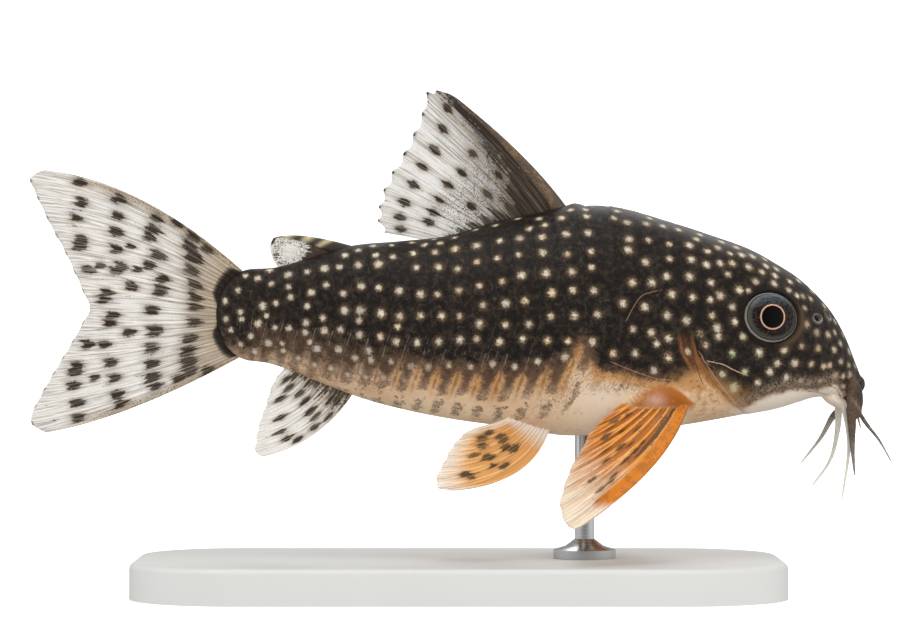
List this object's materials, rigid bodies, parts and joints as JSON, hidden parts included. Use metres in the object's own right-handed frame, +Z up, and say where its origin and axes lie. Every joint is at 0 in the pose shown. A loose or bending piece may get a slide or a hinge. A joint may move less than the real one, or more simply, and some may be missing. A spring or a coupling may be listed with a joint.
{
  "type": "corydoras catfish display model",
  "caption": "Still life-size model of a spotted armoured catfish, divided into head, trunk, tail, fins, eyes and barbels, held over a flat base by a short rod.",
  "frame": {"origin": "centre of the stand base's underside", "axes": "+X towards the fish's head, +Y towards the fish's left side, +Z up"},
  "size_m": [0.0718, 0.028, 0.0421],
  "materials": {
    "dark_skin": "near-black brown skin with cream spots, pale belly, damp satin gloss",
    "eye": "glassy black pupil in a thin copper ring and a dark iris",
    "pale_fin": "off-white translucent membrane with dark blotches on fine rays",
    "orange_fin": "orange spine and rays fading to pale tips",
    "barbel_skin": "smooth brown skin, paler to the tips",
    "stand_paint": "satin pale grey",
    "stand_steel": "fine turned steel"
  },
  "bodies": {
    "root": {"head": "dark_skin", "trunk": "dark_skin", "tail_stalk": "dark_skin", "eye_right": "eye", "eye_left": "eye", "dorsal_fin": "pale_fin", "adipose_fin": "pale_fin", "caudal_fin_upper": "pale_fin", "caudal_fin_lower": "pale_fin", "anal_fin": "pale_fin", "pelvic_fin_right": "orange_fin", "pelvic_fin_left": "orange_fin", "pectoral_fin_right": "orange_fin", "pectoral_fin_left": "orange_fin", "barbel_maxillary_right": "barbel_skin", "barbel_maxillary_left": "barbel_skin", "barbel_rictal_right": "barbel_skin", "barbel_rictal_left": "barbel_skin", "barbel_mental_right": "barbel_skin", "barbel_mental_left": "barbel_skin", "stand_base": "stand_paint", "stand_rod": "stand_steel"}
  },
  "joints": []
}
